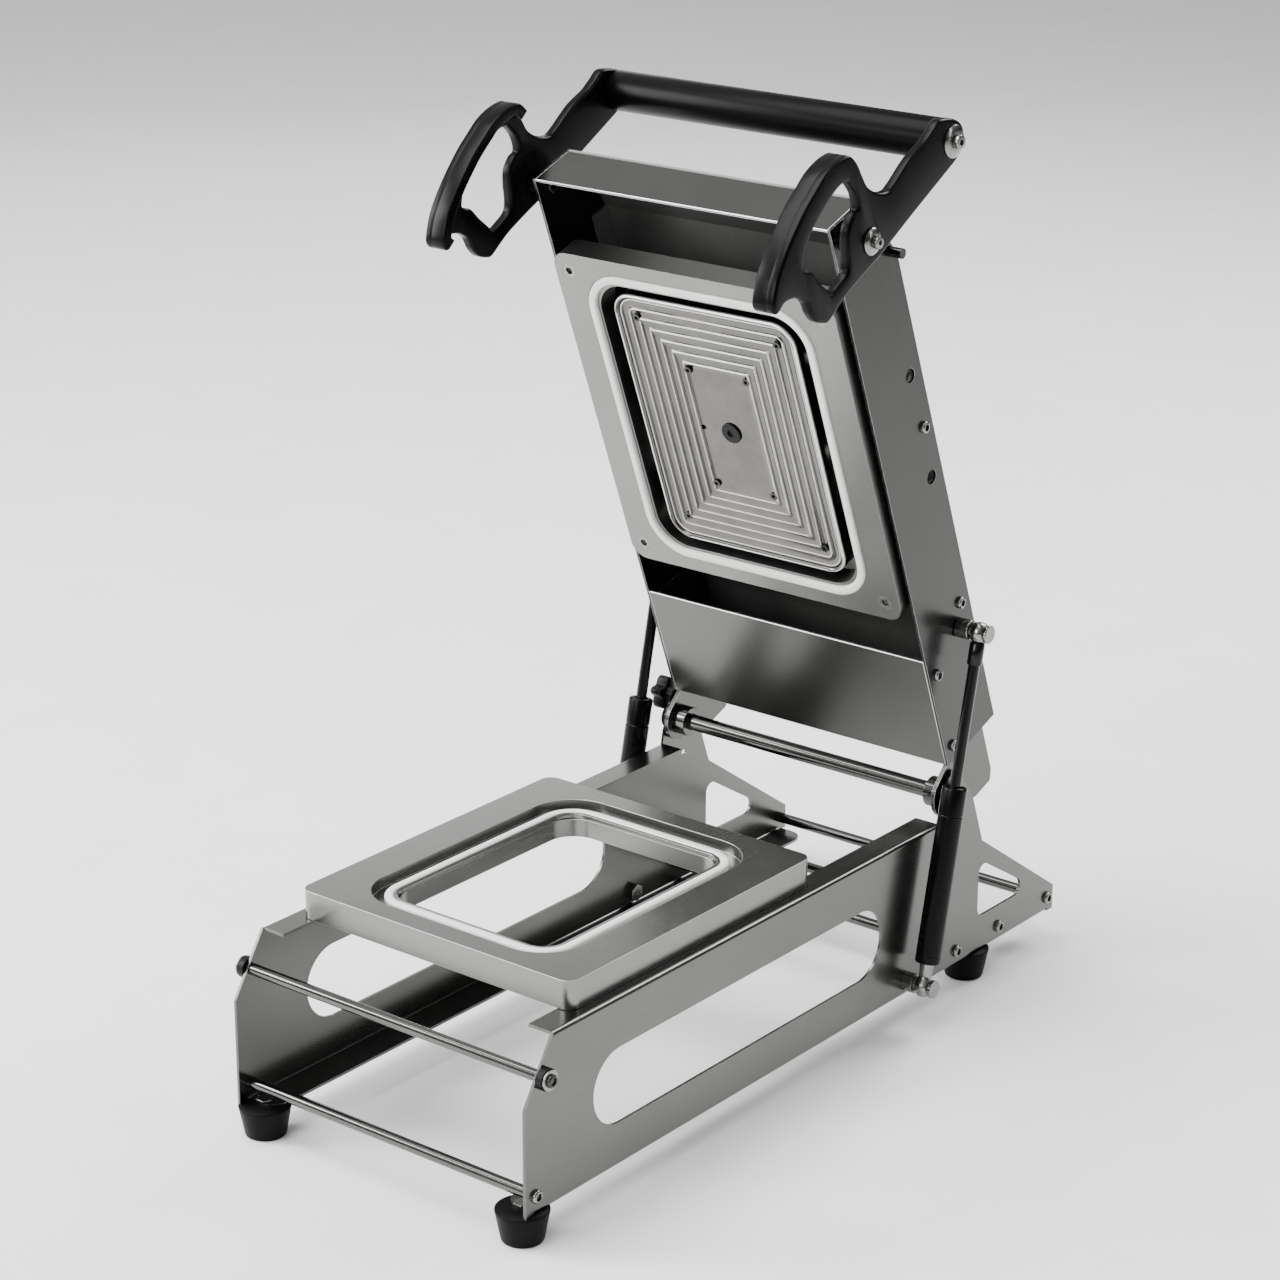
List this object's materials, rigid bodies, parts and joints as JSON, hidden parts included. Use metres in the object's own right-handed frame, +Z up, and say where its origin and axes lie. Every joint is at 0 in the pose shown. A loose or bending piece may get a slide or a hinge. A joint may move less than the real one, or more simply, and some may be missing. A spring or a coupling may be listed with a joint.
{
  "type": "tray sealer",
  "caption": "Hand-operated tray sealer: sheet-steel base with a lift-out tray die, hinged head with heated plate and sprung clamp, and a cam-hook lever that locks the head down.",
  "frame": {"origin": "centre of the bounding box's underside, on the floor under the rubber feet, head open", "axes": "+X to the machine's right seen from the back, +Y from the front edge to the back, +Z up"},
  "size_m": [0.3, 0.6144, 0.6515],
  "materials": {
    "stainless": "brushed stainless sheet",
    "bar_steel": "turned stainless bar",
    "screw_steel": "plain stainless fasteners",
    "foot_rubber": "matt moulded rubber",
    "roller_black": "black roller",
    "cap_black": "black cap",
    "block_black": "black moulded block",
    "die_aluminium": "satin machined aluminium",
    "seal_silicone": "pale silicone",
    "heater_aluminium": "milled aluminium",
    "clamp_aluminium": "bead-blasted aluminium",
    "insulation": "dark heat-proof board",
    "dark_screw": "blackened screw",
    "handle_black": "satin black moulding",
    "grip_black": "satin black tube",
    "spring_black": "black painted cylinder",
    "rod_black": "black nitrided rod",
    "knob_black": "black knob",
    "rocker_red": "red rocker"
  },
  "bodies": {
    "base": {"left_side_plate": "stainless", "right_side_plate": "stainless", "front_top_bar": "bar_steel", "front_bottom_bar": "bar_steel", "rear_bars": "bar_steel", "tie_bar_screws": "screw_steel", "rubber_feet": "foot_rubber", "foot_screws": "screw_steel", "hinge_shaft": "bar_steel", "shaft_caps": "cap_black", "lower_gas_studs": "screw_steel", "hinge_block": "block_black", "roller_bushes": "bar_steel", "roller_washers": "screw_steel", "roller_screws": "screw_steel"},
    "left_roller": {"left_roller": "roller_black"},
    "right_roller": {"right_roller": "roller_black"},
    "die": {"tray_die": "die_aluminium", "die_seal": "seal_silicone", "die_pins": "bar_steel"},
    "head": {"left_head_plate": "stainless", "right_head_plate": "stainless", "top_cover": "stainless", "end_panel": "stainless", "lower_panel": "stainless", "hinge_arms": "stainless", "hinge_bosses": "bar_steel", "head_screws": "screw_steel", "stop_pins": "screw_steel", "handle_spacers": "bar_steel", "handle_pivot_washers": "screw_steel", "handle_pivot_bolts": "screw_steel", "heating_plate": "heater_aluminium", "heater_screws": "screw_steel", "heater_middle_screw": "dark_screw", "heater_insulation": "insulation", "cross_members": "stainless", "spring_housings": "bar_steel", "thermostat_body": "block_black", "switch_housing": "block_black", "power_inlet": "block_black"},
    "clamp": {"clamp_plate": "clamp_aluminium", "clamp_ring": "seal_silicone", "clamp_screws": "screw_steel", "clamp_pins": "bar_steel"},
    "handle": {"left_handle": "handle_black", "right_handle": "handle_black", "handle_grip": "grip_black", "grip_washers": "screw_steel", "grip_bolts": "screw_steel"},
    "left_cylinder": {"left_gas_cylinder": "spring_black"},
    "right_cylinder": {"right_gas_cylinder": "spring_black"},
    "left_rod": {"left_gas_rod": "rod_black", "left_gas_stud": "screw_steel"},
    "right_rod": {"right_gas_rod": "rod_black", "right_gas_stud": "screw_steel"},
    "knob": {"heat_knob": "knob_black"},
    "rocker": {"power_rocker": "rocker_red"}
  },
  "joints": [
    {"name": "head_hinge", "type": "hinge", "parent": "base", "child": "head", "pos_m": [0, 0.16475, 0.1575], "axis": [-1, 0, 0], "range_deg": [-69, 0]},
    {"name": "handle_pivot", "type": "hinge", "parent": "head", "child": "handle", "pos_m": [0, 0.02117, 0.58568], "axis": [-1, 0, 0], "range_deg": [-45, 30]},
    {"name": "clamp_slide", "type": "slide", "parent": "head", "child": "clamp", "axis": [0, -0.9336, -0.3584], "range_m": [-0.0065, 0]},
    {"name": "die_lift", "type": "slide", "parent": "base", "child": "die", "axis": [0, 0, 1], "range_m": [0, 0.06]},
    {"name": "left_roller_turn", "type": "hinge", "parent": "base", "child": "left_roller", "pos_m": [-0.128, -0.28475, 0.1145], "axis": [1, 0, 0], "continuous": true},
    {"name": "right_roller_turn", "type": "hinge", "parent": "base", "child": "right_roller", "pos_m": [0.128, -0.28475, 0.1145], "axis": [1, 0, 0], "continuous": true},
    {"name": "left_cylinder_swing", "type": "hinge", "parent": "base", "child": "left_cylinder", "pos_m": [-0.14, 0.11375, 0.033], "axis": [-1, 0, 0], "range_deg": [-32.85, 0]},
    {"name": "right_cylinder_swing", "type": "hinge", "parent": "base", "child": "right_cylinder", "pos_m": [0.14, 0.11375, 0.033], "axis": [-1, 0, 0], "range_deg": [-32.85, 0]},
    {"name": "left_rod_slide", "type": "slide", "parent": "left_cylinder", "child": "left_rod", "axis": [0, 0.2157, 0.9765], "range_m": [-0.0709, 0]},
    {"name": "right_rod_slide", "type": "slide", "parent": "right_cylinder", "child": "right_rod", "axis": [0, 0.2157, 0.9765], "range_m": [-0.0709, 0]},
    {"name": "heat_knob_turn", "type": "hinge", "parent": "head", "child": "knob", "pos_m": [0.06, 0.17383, 0.32166], "axis": [0, 0.9336, 0.3584], "range_deg": [0, 240]},
    {"name": "power_rocker_tilt", "type": "hinge", "parent": "head", "child": "rocker", "pos_m": [-0.06, 0.17196, 0.32094], "axis": [1, 0, 0], "range_deg": [0, 16]}
  ],
  "couplings": [
    {"joint": "clamp_slide", "follows": "head_hinge", "m_per_rad": 0.005397},
    {"joint": "left_cylinder_swing", "follows": "head_hinge", "ratio": 0.47574},
    {"joint": "right_cylinder_swing", "follows": "head_hinge", "ratio": 0.47574},
    {"joint": "left_rod_slide", "follows": "head_hinge", "m_per_rad": 0.05884},
    {"joint": "right_rod_slide", "follows": "head_hinge", "m_per_rad": 0.05884}
  ]
}
